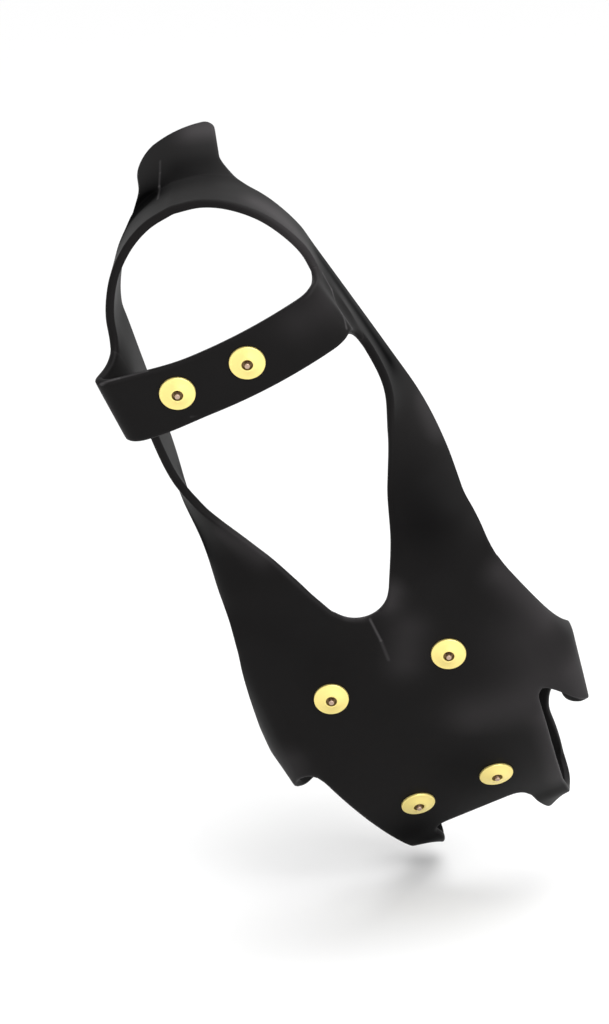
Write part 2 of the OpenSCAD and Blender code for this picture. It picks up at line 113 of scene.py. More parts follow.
def onPad(x, y):
    # the pad's outer face: flat, then up the arc towards the toe
    return np.stack([x, y, pad["z"] + springZ(y)], -1)


padY = joined(np.linspace(rootY, pad["cornerY"], pad["loopRows"] + 1),
              np.array([pad["cornerY"], pad["windowY"]]),
              np.linspace(pad["windowY"], pad["frontY"], pad["windowRows"]))
padShare = (padY - rootY) / (pad["frontY"] - rootY)


def padSide(side):
    # straight rows between the line beside the notch and the pad's outer edge
    inner = mix(side * rootX, pad["toeX"] + side * pad["toeHalfW"], padShare)
    outer = np.interp(padY, [rootY, pad["cornerY"], pad["windowY"], pad["frontY"]],
                      [side * pad["halfW"], side * pad["halfW"], pad["toeX"] + side * pad["windowHalfW"],
                       pad["toeX"] + side * pad["earOuter"]])
    c = np.linspace(0, 1, pad["sideCols"] + 1)
    x = mix(inner[:, None], outer[:, None], c)
    fadeEnd = pad["windowY"] + pad["rightFade"]
    pull = np.interp(padY, [rootY, pad["cornerY"], pad["windowY"], fadeEnd], [0, 1, 1, 0])
    return onPad(x, padY[:, None] - pad["rightBack"] * (side > 0) * pull[:, None] * c**2)


def padMiddle():
    # straight lines from the notch's round end to the toe window's edge
    c = np.linspace(0, 1, pad["midCols"] + 1)
    a = np.radians(mix(180 - pad["notchAngle"], pad["notchAngle"], c))
    rear = np.stack([pad["notchR"] * np.cos(a), notchMid + pad["notchR"] * np.sin(a)], -1)
    turn = np.radians(np.linspace(0, -90, pad["toeSteps"]))
    r, w = pad["toeR"], pad["toeHalfW"]
    half = np.concatenate([[[w, pad["frontY"]]], np.stack(
        [w - r + r * np.cos(turn), pad["toeWindowY"] + r + r * np.sin(turn)], -1)])
    edge = np.concatenate([half * [-1, 1], half[::-1]])
    edge[:, 1] = mix(pad["frontY"], edge[:, 1], np.interp(edge[:, 0], [-w, w], pad["toeShare"]))
    edge[:, 0] += pad["toeX"]
    run = runLength(edge)
    front = np.stack([np.interp(c * run[-1], run, edge[:, k]) for k in (0, 1)], -1)
    xy = mix(rear[None], front[None], padShare[:, None, None])
    return onPad(xy[..., 0], xy[..., 1])


# the loop over the toes; pairs are left and right
loop = dict(
    halfW=59.0, topZ=72.0, y=18.5, x=1.0, lag=15.5, lead=28.0, skew=6.0, crown=7, taper=0.0256,
    lipTaper=(0.006, 0.008), drop=0.3, leftFull=0.4, leftFlare=0.05, rightFull=1.5, fullRun=(1.5, 5.2, 2.0),
    backEnd=1.2, lipEnd=0.8, earFrom=5.8, earTo=6.35, lipCols=4, lowRows=44, topRows=7)
loopHigh, loopWide = loop["topZ"] - pad["z"], loop["halfW"] - pad["halfW"]

# from the pad up to the crown:
# [half width, height, rear edge, front edge, share of the toe spring, share of the skew]
loopStations = [
    [pad["halfW"], pad["z"], rootY, pad["cornerY"], 1, 0],
    [pad["halfW"] + 0.55 * loopWide, pad["z"] + 0.03 * loopHigh, rootY + 0.13 * loop["lag"],
     pad["windowY"] + 0.15 * loop["lead"], 1, 1],
    [pad["halfW"] + 0.93 * loopWide, pad["z"] + 0.13 * loopHigh, loop["y"] - loop["lag"],
     pad["windowY"] + 0.375 * loop["lead"], 0.9, 0.85],
    [loop["halfW"], pad["z"] + 0.3 * loopHigh, loop["y"] - 0.06 * loop["lag"],
     pad["windowY"] + 0.52 * loop["lead"], 0.6, 0.8],
    [0.95 * loop["halfW"], pad["z"] + 0.54 * loopHigh, loop["y"] + 0.55 * loop["lag"],
     pad["windowY"] + 0.68 * loop["lead"], 0.3, 0.5],
    [0.8 * loop["halfW"], pad["z"] + 0.77 * loopHigh, loop["y"] + 0.81 * loop["lag"],
     pad["windowY"] + 0.84 * loop["lead"], 0.1, 0.25],
    [0.48 * loop["halfW"], pad["z"] + 0.94 * loopHigh, loop["y"] + 0.94 * loop["lag"],
     pad["windowY"] + 0.95 * loop["lead"], 0, 0.1],
    [0, loop["topZ"], loop["y"] + loop["lag"], pad["windowY"] + loop["lead"], 0, 0]]


def loopPoint(s, v, side):
    # stations along s, straight from the rear edge to the front edge along v; each side stands out a little
    s, v = np.broadcast_arrays(np.asarray(s, float), np.asarray(v, float))
    p = along(loopStations, s)
    rear, low = np.maximum(p[..., 2], rootY), p[..., 4]
    pulled = pad["rightBack"] * (side > 0) * (1 - ease(s / loop["backEnd"]))
    y = mix(rear, p[..., 3] + side * loop["skew"] * p[..., 5] - pulled, v)
    ahead, behind = np.maximum(y - loop["y"], 0), np.maximum(loop["y"] - y, 0)
    taper = 1 - loop["taper"] * ahead * low * (1 - low)
    lip = 1 - loop["lipTaper"][int(side > 0)] * behind * low * np.clip(s / loop["lipEnd"], 0, 1)
    wide = np.where(p[..., 0] < pad["halfW"], p[..., 0], mix(pad["halfW"], p[..., 0], lip))
    shift = loop["x"] * np.where(s < 2, s - s * s / 4, 1.0)  # a parabola over the first two stations
    full = np.where(side < 0, loop["leftFull"] + loop["leftFlare"] * ahead,
                    loop["rightFull"] * 4 * v * (1 - v))
    x = side * (wide * taper + full * hump(s, *loop["fullRun"])) + shift
    z = p[..., 1] + low * springZ(y) - (1 - low) * loop["drop"] * (y - loop["y"]) * s / loop["crown"]
    return np.stack([x, y, z], -1)


def loopSheet():
    # up the right side to the crown and down the left
    half = joined(np.linspace(0, loop["lipEnd"], loop["lipCols"] + 1),
                  np.linspace(loop["lipEnd"], loop["earFrom"], loop["lowRows"]),
                  np.linspace(loop["earFrom"], loop["earTo"], pad["sideCols"] + 1),
                  np.linspace(loop["earTo"], loop["crown"], loop["topRows"]))
    v = np.linspace(0, 1, pad["loopRows"] + 1)[None]
    return np.concatenate([loopPoint(half[:, None], v, 1.0), loopPoint(half[-2::-1, None], v, -1.0)])


# the two ears round the toe; pairs are left and right
ear = dict(
    frontY=103.0, frontZ=48.0, bend=8.0, innerOut=(3.0, 0.0), tipMove=(-1.0, 1.0), cornerMove=(0.0, 1.6),
    settle=2.0, rows=32)
earLow = float(pad["z"] + springZ(pad["frontY"]))
earRise = float(pad["z"] + springZ(pad["frontY"] + 0.9 * ear["bend"]))


def earStations(side):
    # from the pad's front to the loop's edge: [inner x, outer x, inner y, outer y, inner z, outer z]
    inner, outer = loopPoint(np.array([loop["earTo"], loop["earFrom"]]), 1.0, side)
    innerX, outerX = side * (inner[0] - loop["x"]), side * (outer[0] - loop["x"])
    inX, outX, rootEnd = pad["toeHalfW"], pad["earOuter"], pad["frontY"]
    b, tipY, tipZ = ear["bend"], ear["frontY"], ear["frontZ"]
    more, tip, corner = (ear[key][int(side > 0)] for key in ("innerOut", "tipMove", "cornerMove"))
    return [
        [inX, outX, rootEnd, rootEnd, earLow, earLow],
        [inX, outX - 0.12 * b, rootEnd + b, rootEnd + 0.75 * b + corner, earRise, earRise],
        [inX + 0.1 * b + more, outX - 0.25 * b, tipY - 0.25 * b + tip, tipY - b + corner,
         tipZ - 0.9 * b, tipZ - 0.9 * b],
        [inX + 0.4 * b + more, outX - 0.25 * b, tipY, tipY - 0.8 * b, tipZ + 0.25 * b, tipZ + 0.25 * b],
        [inX + 0.45 * b + 0.5 * more, outX - 0.25 * b, tipY - 0.9 * b, tipY - 1.6 * b,
         tipZ + 1.2 * b, tipZ + 1.1 * b],
        [mix(inX, innerX, 0.5), mix(outX, outerX, 0.6), mix(tipY, inner[1], 0.55),
         mix(tipY, outer[1], 0.62), mix(tipZ, inner[2], 0.85), mix(tipZ, outer[2], 0.85)],
        [innerX, outerX, inner[1], outer[1], inner[2], outer[2]]]


def earSheet(side):
    # straight across between the two edges, its last row laid on the loop's front edge
    stations = earStations(side)
    end = len(stations) - 1
    s = np.linspace(0, end, ear["rows"] + 1)
    p = along(stations, s)[:, None]
    c = np.linspace(0, 1, pad["sideCols"] + 1)[None]
    x = side * mix(p[..., 0], p[..., 1], c) + mix(pad["toeX"], loop["x"], s[:, None] / end)
    points = np.stack([x, mix(p[..., 2], p[..., 3], c), mix(p[..., 4], p[..., 5], c)], -1)
    last = loopPoint(mix(loop["earTo"], loop["earFrom"], c[0]), 1.0, side)
    return points + (last - points[-1]) * ease((s - end + ear["settle"]) / ear["settle"])[:, None, None]


# the arms and the heel band share one run of rows from the pad round to the back
heel = dict(
    halfW=39.0, backY=-190.0, strapY=-137.0, strapW=26.0, round=12.0, lean=2.0, foldY=-64.0, foldZ=20.0,
    foldHalfW=48.0, foldUp=11.0, foldDown=7.0, lowSide=18.5, topSide=37.5, rootLip=(5.0, 6.5), full=0.1,
    rows={90: (18.5, 37.5), 70: (18.8, 37.5), 50: (21.2, 41.5), 32: (23.6, 46.2), 16: (25.6, 49.0),
          0: (26.5, 50.0)},  # heights of the two edges at angles from the back
    leftIn=1.3, leftInRun=(0.7, 3.0, 1.5), rightOut=2.6, rightOutRun=(0.3, 1.25, 0.95),
    leftOpen=(0, 0.2, 0.6, -0.4, -2.7, -3.9, -4.6, -3.2, -1.2, 0),  # left inner edge at every half row
    armRows=68, strapCols=16, bandRows=30, tabCols=24)
heelMid = heel["strapY"] - heel["round"]
heelDeep = heelMid - heel["backY"]
armX, armZ = pad["halfW"] + heel["rootLip"][0], pad["z"] + heel["rootLip"][1]
foldX = rootX + (rootY - heel["foldY"]) * math.tan(math.radians(pad["notchAngle"]))
foldLow, foldTop = heel["foldZ"] - heel["foldDown"], heel["foldZ"] + heel["foldUp"]


def heelRow(a):
    # an ellipse round the heel, its two edges rising towards the back
    s, c = math.sin(math.radians(a)), math.cos(math.radians(a))
    low, top = heel["rows"][a]
    return [[heel["halfW"] * s, heelMid - heelDeep * c, low],
            [(heel["halfW"] - heel["lean"]) * s, heelMid - (heelDeep - heel["lean"]) * c, top], heel["full"]]


# rows of the right side: [lower edge, upper edge, fullness between them]
midY = mix(rootY, heel["foldY"], 0.5)
quarterY = mix(heel["foldY"], heel["strapY"], 0.25)
waistY = mix(heel["foldY"], heel["strapY"], 0.55)
sideRows = [
    [[rootX, rootY, pad["z"]], [armX, rootY, armZ], 1.0],
    [[mix(rootX, foldX, 0.55), midY, mix(pad["z"], foldLow, 0.4)],
     [mix(armX, heel["foldHalfW"], 0.7), midY, mix(armZ, foldTop, 0.3)], 0.9],
    [[foldX, heel["foldY"], foldLow], [heel["foldHalfW"], heel["foldY"], foldTop], 0.6],
    [[mix(foldX, heel["halfW"], 0.67), quarterY, mix(foldLow, heel["lowSide"], 0.8)],
     [mix(heel["foldHalfW"], heel["halfW"], 0.12), quarterY, mix(foldTop, heel["topSide"], 0.9)], 0.4],
    [[mix(heel["foldHalfW"], heel["halfW"], 0.64), waistY, mix(foldLow, heel["lowSide"], 1.2)],
     [mix(heel["foldHalfW"], heel["halfW"], 0.52), waistY, mix(foldTop, heel["topSide"], 1.3)], 0.2],
] + [heelRow(a) for a in heel["rows"]]
backRow = len(sideRows) - 1
waistRow, lastRow = backRow - len(heel["rows"]), 2 * backRow


def sidePoint(s, v):
    # across each row a cubic curve from the lower edge to the upper, pulled towards the outer corner
    s, v = np.broadcast_arrays(np.asarray(s, float), np.asarray(v, float))
    a = along([r[0] for r in sideRows], s)
    b = along([r[1] for r in sideRows], s)
    f = along([[r[2]] for r in sideRows], s)
    corner = np.stack([b[..., 0], (a[..., 1] + b[..., 1]) / 2, a[..., 2]], -1)
    low = mix(mix(a, b, 1 / 3), mix(a, corner, 2 / 3), f)
    high = mix(mix(a, b, 2 / 3), mix(b, corner, 2 / 3), f)
    t = v[..., None]
    return a * (1 - t)**3 + low * 3 * t * (1 - t)**2 + high * 3 * t * t * (1 - t) + b * t**3


def rootRow(side):
    # the arms' first row runs along the pad's rear edge and a little way up the loop's
    x = side * np.linspace(rootX, pad["halfW"], pad["sideCols"] + 1)
    lip = loopPoint(np.linspace(0, loop["lipEnd"], loop["lipCols"] + 1)[1:], 0.0, side)
    return np.concatenate([onPad(x, np.full(len(x), rootY)), lip])


rootRun = runLength(rootRow(1.0))
acrossSide = rootRun / rootRun[-1]

# the pull tab at the back; its root and the strap's two ends are stretches of the band's rows
tab = dict(
    x=1.5, halfW=15.5, foot=4.0, footHigh=8.0, high=25.6, lean=14.0, slant=0.24, leftR=9.0, rightR=3.5,
    hold=6.0, lowRows=14, topRows=14)
fineRows = np.linspace(waistRow, backRow, 601)
lowEdgeY, topEdgeX = sidePoint(fineRows, 0.0)[:, 1], sidePoint(fineRows, 1.0)[:, 0]


def rowAt(value, edge):
    # the row where an edge that falls from the waist to the back has this value
    return float(np.interp(-value, -edge, fineRows))


strapFrom, strapTo = (rowAt(heel["strapY"] + k * heel["strapW"] / 2, lowEdgeY) for k in (1, -1))
tabRight = rowAt(tab["x"] + tab["halfW"] + tab["foot"], topEdgeX)
tabLeft = lastRow - rowAt(tab["halfW"] + tab["foot"] - tab["x"], topEdgeX)
bandRun = joined(
    np.linspace(0, strapFrom, heel["armRows"]), np.linspace(strapFrom, strapTo, heel["strapCols"] + 1),
    np.linspace(strapTo, tabRight, heel["bandRows"]), np.linspace(tabRight, tabLeft, heel["tabCols"] + 1),
    np.linspace(tabLeft, lastRow - strapTo, heel["bandRows"]),
    np.linspace(lastRow - strapTo, lastRow - strapFrom, heel["strapCols"] + 1),
    np.linspace(lastRow - strapFrom, lastRow, heel["armRows"]))


def bandSheet():
    # right side to the back and on round the left; near the pad the rows settle onto its edge
    s = backRow - np.abs(bandRun - backRow)
    side = np.where(bandRun > backRow, -1.0, 1.0)
    flip = np.stack([side, np.ones_like(side), np.ones_like(side)], -1)[:, None]
    points = sidePoint(s[:, None], acrossSide[None]) * flip
    upper = np.where(side < 0, heel["leftIn"] * hump(s, *heel["leftInRun"]),
                     heel["rightOut"] * hump(s, *heel["rightOutRun"]))
    lower = along([[k] for k in heel["leftOpen"]], np.minimum(2 * s, len(heel["leftOpen"]) - 1))
    points[..., 0] += upper[:, None] * acrossSide
    points[..., 0] += lower * (side < 0)[:, None] * (1 - acrossSide)
    root = np.where(side[:, None, None] > 0, rootRow(1.0), rootRow(-1.0))
    return points + (root - sidePoint(0.0, acrossSide) * flip) * (1 - ease(s))[:, None, None]


# the strap under the heel, bowed towards the toe
strap = dict(
    halfW=44.5, x=-3.5, midW=23.0, leftW=26.0, wideRun=26.0, bow=2.6, bowX=-14.0, curve=0.0025, tuck=3.0,
    seamShare=0.45, seamZ=13.8, sideIn=0.8, sideUp=5.0, turnIn=6.2, flatShare=0.33, settle=2.2, halfRows=30)


def strapHalf(seam, side):
    # stations from the band's edge down the side, round the turn and along the flat to its middle
    across = np.linspace(0.5, -0.5, len(seam))
    edge, z = strap["x"] + side * (strap["halfW"] - strap["sideIn"]), pad["z"]
    fixed = np.array([[mix(seam[:, 0].mean(), edge, strap["seamShare"]), strap["seamZ"]],
                      [edge, z + strap["sideUp"]], [edge - side * strap["turnIn"], z],
                      [mix(strap["x"], edge, strap["flatShare"]), z], [strap["x"], z]])
    fixed = np.repeat(fixed[:, None], len(seam), 1)
    fixed[:3, :, 0] -= strap["tuck"] * (0.5 - across) * (side > 0)
    stations = np.concatenate([seam[None, :, [0, 2]], fixed])
    t = np.linspace(0, len(stations) - 1, strap["halfRows"] + 1)
    xz = along(stations.reshape(len(stations), -1), t).reshape(len(t), len(seam), 2)
    x, high = xz[..., 0], xz[..., 1]
    wide = mix(strap["midW"], strap["leftW"], ease((strap["bowX"] - x) / strap["wideRun"]))
    under = heel["strapY"] + strap["bow"] - strap["curve"] * (x - strap["bowX"])**2 + wide * across
    y = mix(seam[:, 1][None], under, ease(t / strap["settle"])[:, None])
    return np.stack([x, y, np.maximum(high, z)], -1)


def strapSheet(band):
    # from the band's lower edge on the right, under the heel and up to the left
    first = int(np.argmin(np.abs(bandRun - strapFrom)))
    last = int(np.argmin(np.abs(bandRun - (lastRow - strapFrom))))
    right = band[first:first + heel["strapCols"] + 1, 0]
    left = band[last - heel["strapCols"]:last + 1, 0][::-1]
    return np.concatenate([strapHalf(right, 1.0), strapHalf(left, -1.0)[-2::-1]])


def tabSheet(band):
    # a tongue with the heel's curve that leans back; round upper corners, its foot flared into the band
    first = int(np.argmin(np.abs(bandRun - tabRight)))
    root = band[first:first + heel["tabCols"] + 1, -1]
    c = np.linspace(1, -1, len(root))[None]
    big = max(tab["leftR"], tab["rightR"])
    turn = np.linspace(0, math.pi / 2, tab["topRows"])
    up = joined(np.linspace(0, tab["high"] - big, tab["lowRows"]),
                tab["high"] - big + big * np.sin(turn))[:, None]
    r = np.where(c > 0, tab["rightR"], tab["leftR"])
    cut = r - np.sqrt(np.maximum(r * r - np.maximum(up - (tab["high"] - r), 0) ** 2, 0))
    x = tab["x"] + c * (tab["halfW"] - cut + tab["foot"] * np.clip(1 - up / tab["footHigh"], 0, 1) ** 2)
    lean, curve = math.radians(tab["lean"]), heelDeep / heel["halfW"] ** 2 / 2
    rise = up * (1 + tab["slant"] * (x - tab["x"]) / tab["high"])
    flat = np.stack([x, root[:, 1].min() - math.sin(lean) * rise + curve * x * x,
                     root[:, 2].max() + math.cos(lean) * rise], -1)
    hold = (1 - ease(up / tab["hold"]))[..., None]
    return mix(flat, root[None] + flat - flat[:1], hold)


def addObject(name, data):
    made = bpy.data.objects.new(name, data)
    bpy.context.scene.collection.objects.link(made)
    return made


def addAttribute(mesh, name, kind, domain, values):
    field, sort = {"INT": ("value", np.int32), "FLOAT": ("value", np.float32),
                   "FLOAT_VECTOR": ("vector", np.float32)}[kind]
    mesh.attributes.new(name, kind, domain).data.foreach_set(field, np.asarray(values, sort).ravel())


def mendMesh(mesh, weld, openSheet=False):
    # doubles merged and faces turned outwards, which for an open sheet means downwards at its lowest face
    shape = bmesh.new()
    shape.from_mesh(mesh)
    bmesh.ops.remove_doubles(shape, verts=shape.verts, dist=weld * mm)
    bmesh.ops.recalc_face_normals(shape, faces=shape.faces)
    if openSheet and min(shape.faces, key=lambda f: f.calc_center_median().z).normal.z > 0:
        bmesh.ops.reverse_faces(shape, faces=shape.faces)
    shape.to_mesh(mesh)
    shape.free()


# points of the rubber sheet closer than weld are one; edges sharper than this many degrees stay crisp
moulded = dict(weld=0.02, sharp=60.0)


def sheetMesh(name, sheets):
    # all grids in one mesh, joined where their edges coincide; zone tells which piece a face goes to
    points, faces, zones, first = [], [], [], 0
    for grid, zone in sheets:
        rows, cols = grid.shape[:2]
        a = first + np.arange(rows * cols).reshape(rows, cols)
        quads = np.stack([a[:-1, :-1], a[1:, :-1], a[1:, 1:], a[:-1, 1:]], -1).reshape(-1, 4)
        points.append(grid.reshape(-1, 3))
        faces.append(quads)
        zones.append(np.full(len(quads), zone))
        first += rows * cols
    mesh = bpy.data.meshes.new(name)
    mesh.from_pydata(place(np.concatenate(points)), [], np.concatenate(faces))
    addAttribute(mesh, "zone", "INT", "FACE", np.concatenate(zones))
    mendMesh(mesh, moulded["weld"], openSheet=True)
    return mesh


# corners of the moulding's outline that are rounded: (reach in mm, strength)
rounding = dict(
    passes=60, step=0.5, leftRoot=(26.0, 1.0), rightRoot=(22.0, 0.9), window=(4.0, 0.4),
    strapFront=(7.0, 0.6), strapRear=(15.0, 1.0), tabFoot=(12.0, 0.9), ear=(12.0, 1.0),
    rootX=50.6, rootZ=6.0, windowAhead=1.0, windowUp=2.0, tabFootIn=6.0, tabFootZ=49.0)


def roundedSpots():
    v, spots = rounding, []
    tabOut, tabY = tab["halfW"] + tab["foot"], heel["backY"] + v["tabFootIn"]
    for side in (-1.0, 1.0):
        spots.append([[side * v["rootX"], rootY, v["rootZ"]], *v["rightRoot" if side > 0 else "leftRoot"]])
        spots.append([[side * pad["halfW"], pad["cornerY"] + v["windowAhead"], pad["z"] + v["windowUp"]],
                      *v["window"]])
        spots.append([[tab["x"] + side * tabOut, tabY, v["tabFootZ"]], *v["tabFoot"]])
        spots += [[loopPoint(s, 1.0, side), *v["ear"]] for s in (loop["earFrom"], loop["earTo"])]
        spots.append([sidePoint(strapFrom, 0.0) * [side, 1, 1], *v["strapFront"]])
        spots.append([sidePoint(strapTo, 0.0) * [side, 1, 1], *v["strapRear"]])
    return spots


def easeCorners(mesh, spots):
    # near the spots free edges slide towards the middle of their two neighbours,
    # and inner points towards the middle of all of theirs
    count = len(mesh.vertices)
    points = np.zeros(count * 3)
    mesh.vertices.foreach_get("co", points)
    points = points.reshape(-1, 3)
    edges = np.zeros(len(mesh.edges) * 2, np.int32)
    mesh.edges.foreach_get("vertices", edges)
    a, b = edges.reshape(-1, 2).T
    used = np.zeros(len(mesh.loops), np.int32)
    mesh.loops.foreach_get("edge_index", used)
    free = np.bincount(used, minlength=len(a)) == 1
    onEdge = np.zeros(count, bool)
    onEdge[np.concatenate([a[free], b[free]])] = True
    to = np.concatenate([a[free | ~onEdge[a]], b[free | ~onEdge[b]]])
    source = np.concatenate([b[free | ~onEdge[a]], a[free | ~onEdge[b]]])
    number = np.maximum(np.bincount(to, minlength=count), 1)
    weight = np.zeros(count)
    for spot, reach, strength in spots:
        away = np.linalg.norm(points - place(spot), axis=1) / (reach * mm)
        weight = np.maximum(weight, strength * (1 - ease(away)))
    for _ in range(rounding["passes"]):
        middle = np.stack([np.bincount(to, points[source, k], count) for k in range(3)], -1) / number[:, None]
        points = points + rounding["step"] * weight[:, None] * (middle - points)
    mesh.vertices.foreach_set("co", points.ravel())
    mesh.update()


band = bandSheet()
sheets = [(padSide(1.0), 0), (padSide(-1.0), 0), (padMiddle(), 0), (loopSheet(), 0), (earSheet(1.0), 0),
          (earSheet(-1.0), 0), (band, 0), (strapSheet(band), 1), (tabSheet(band), 2)]
skin = sheetMesh("moulding", sheets)
easeCorners(skin, roundedSpots())
moulding = addObject("moulding", skin)
print("rubber sheet:", len(moulding.data.vertices), "points")

# studs in sets of two: (place along, gap between, place across, how far the left one is ahead, body)
studSets = dict(
    ball=(0.0, 45.5, -3.0, 0.0, "forefoot"), toe=(62.0, 31.0, -3.0, 0.0, "forefoot"),
    heel=(heel["strapY"] + 0.8, 26.5, -9.0, 0.8, "strap"))
stud = dict(
    flange=6.25, rim=0.9, rimR=0.42, rimDrop=0.05, lip=2.05, lipW=0.4, lipR=(0.14, 0.16), hubIn=0.55,
    hollow=1.25, socket=1.95, socketR=0.2, floorZ=-0.5, shank=3.0, head=4.2, headH=0.6, headTop=2.9,
    headEdge=0.3, headRound=(0.2, 0.48), headFlat=0.6, washer=5.0, washerT=0.8, washerR=0.15, washerGap=0.05,
    recessGap=0.08, recessTop=6.0, pin=0.95, pinGap=0.02, pinR=0.3, pinTip=-3.0, pinRoot=1.4,
    turns=72, domeSteps=14, weld=0.0001, sharp=48.0)
places = {}
for name, (y, gap, x, skew, body) in studSets.items():
    lean = math.asin(max(y - pad["springY"], 0.0) / pad["springR"])
    for side, word in ((-1, "left"), (1, "right")):
        at = Vector(place([x + side * gap / 2, y - side * skew / 2, float(pad["z"] + springZ(y))]))
        places[word + "_" + name] = (Matrix.Translation(at) @ Matrix.Rotation(lean, 4, "X"), body)


def lathe(name, profile, where):
    # a profile of radius and height turned about its axis; both stay on the points for the material
    p = np.asarray(profile, float)
    a = np.linspace(0, 2 * math.pi, stud["turns"] + 1)[:-1]
    ring = np.stack([p[:, :1] * np.cos(a), p[:, :1] * np.sin(a), np.repeat(p[:, 1:], len(a), 1)], -1)
    rows, cols = ring.shape[:2]
    k = np.arange(rows * cols).reshape(rows, cols)
    n = np.roll(k, -1, 1)
    quads = np.stack([k[:-1], n[:-1], n[1:], k[1:]], -1).reshape(-1, 4)
    turned = np.array(where)
    mesh = bpy.data.meshes.new(name)
    mesh.from_pydata(ring.reshape(-1, 3) * mm @ turned[:3, :3].T + turned[:3, 3], [], quads)
    addAttribute(mesh, "radius", "FLOAT", "POINT", np.repeat(p[:, 0], cols))
    addAttribute(mesh, "height", "FLOAT", "POINT", np.repeat(p[:, 1], cols))
    mendMesh(mesh, stud["weld"])
    mesh.set_sharp_from_angle(angle=math.radians(stud["sharp"]))
    return addObject(name, mesh)


def roundCorner(a, corner, b, r, steps=5):
    # a quadratic curve that leaves and meets the two sides at distance r from their corner
    a, corner, b = (np.asarray(k, float) for k in (a, corner, b))
    start = corner + (a - corner) / np.linalg.norm(a - corner) * r
    end = corner + (b - corner) / np.linalg.norm(b - corner) * r
    t = np.linspace(0, 1, steps)[:, None]
    return start * (1 - t)**2 + corner * 2 * t * (1 - t) + end * t * t


def studProfile():
    # from the bore out over socket, lip, dome and rim, then up the shank to the riveted head
    v = stud
    lipIn, lipOut = [v["socket"], -v["lip"]], [v["socket"] + v["lipW"], -v["lip"]]
    r = np.linspace(0, 1, v["domeSteps"])[1:-1, None]
    rise = 1 - (1 - r)**v["hollow"]  # a little hollow in the dome between rim and hub
    dome = np.concatenate([mix(v["socket"] + v["hubIn"], v["flange"] - v["hubIn"], r),
                           -mix(v["rim"], v["lip"], 1 - rise)], 1)
    rim = roundCorner(dome[-1], [v["flange"], -v["rim"] + v["rimDrop"]], [v["flange"], 0], v["rimR"])
    lip = np.concatenate([roundCorner([v["socket"], v["floorZ"]], lipIn, lipOut, v["lipR"][0]),
                          roundCorner(lipIn, lipOut, dome[0], v["lipR"][1])])
    bore = v["pin"] + v["pinGap"]
    inside = [[bore, v["pinRoot"]], [bore, v["floorZ"]], [v["socket"] - v["socketR"], v["floorZ"]],
              [v["socket"], v["floorZ"] - v["socketR"]]]
    low, (inward, upward) = v["headTop"] - v["headH"], v["headRound"]
    rear = [[v["flange"], 0], [v["shank"], 0], [v["shank"], low], [v["head"], low],
            [v["head"], low + v["headEdge"]]]
    crown = [[v["head"] - inward, low + upward], [v["head"] - v["headFlat"], v["headTop"]], [0, v["headTop"]]]
    return np.concatenate([[[0, v["pinRoot"]]], inside, lip, dome, rim, rear, crown])


def pinProfile():
    # a plain pin with a rounded tip
    v = stud
    nose = roundCorner([v["pin"], 0], [v["pin"], v["pinTip"]], [0, v["pinTip"]], v["pinR"])
    return np.concatenate([[[0, v["pinRoot"]], [v["pin"], v["pinRoot"]]], nose, [[0, v["pinTip"]]]])


def washerProfile():
    # a flat ring under the head, its upper edge rounded
    v = stud
    top = v["headTop"] - v["headH"]
    low, hole = top - v["washerT"], v["shank"] + v["washerGap"]
    edge = roundCorner([hole, top], [v["washer"], top], [v["washer"], low], v["washerR"])
    return np.concatenate([[[hole, low], [hole, top]], edge, [[v["washer"], low], [hole, low]]])


def recessProfile():
    # the room that a washer takes in the rubber
    v = stud
    low, r = v["headTop"] - v["headH"] - v["washerT"], v["washer"] + v["recessGap"]
    return [[0, low], [r, low], [r, v["recessTop"]], [0, v["recessTop"]]]


studPieces, pinPieces, washerPieces = [], [], []
for key, (where, body) in places.items():
    for kind, profile, kept in (("stud", studProfile(), studPieces), ("pin", pinProfile(), pinPieces),
                                ("washer", washerProfile(), washerPieces)):
        piece = lathe(key + "_" + kind + "_turned", profile, where)
        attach(piece, body)
        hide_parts(key + "_" + kind)
        kept.append(piece)
print("studs turned:", len(studPieces))

# thickness, rounded edges and the recesses for the washers, then one mesh for each piece
cutters = []
for key, (where, body) in places.items():
    cutter = lathe(key + "_cut", recessProfile(), where)
    addAttribute(cutter.data, "zone", "INT", "FACE", np.full(len(cutter.data.polygons), body == "strap"))
    cutters.append(cutter)
thicken = moulding.modifiers.new("thicken", "SOLIDIFY")
thicken.thickness = pad["thick"] * mm
thicken.offset = -1
thicken.use_even_offset = True
soften = moulding.modifiers.new("soften", "SUBSURF")
soften.levels = soften.render_levels = 1
for cutter in cutters:
    recess = moulding.modifiers.new(cutter.name, "BOOLEAN")
    recess.operation = "DIFFERENCE"
    recess.solver = "EXACT"
    recess.object = cutter
graph = bpy.context.evaluated_depsgraph_get()
whole = bpy.data.meshes.new_from_object(moulding.evaluated_get(graph), depsgraph=graph)
for made in cutters + [moulding]:
    bpy.data.objects.remove(made)

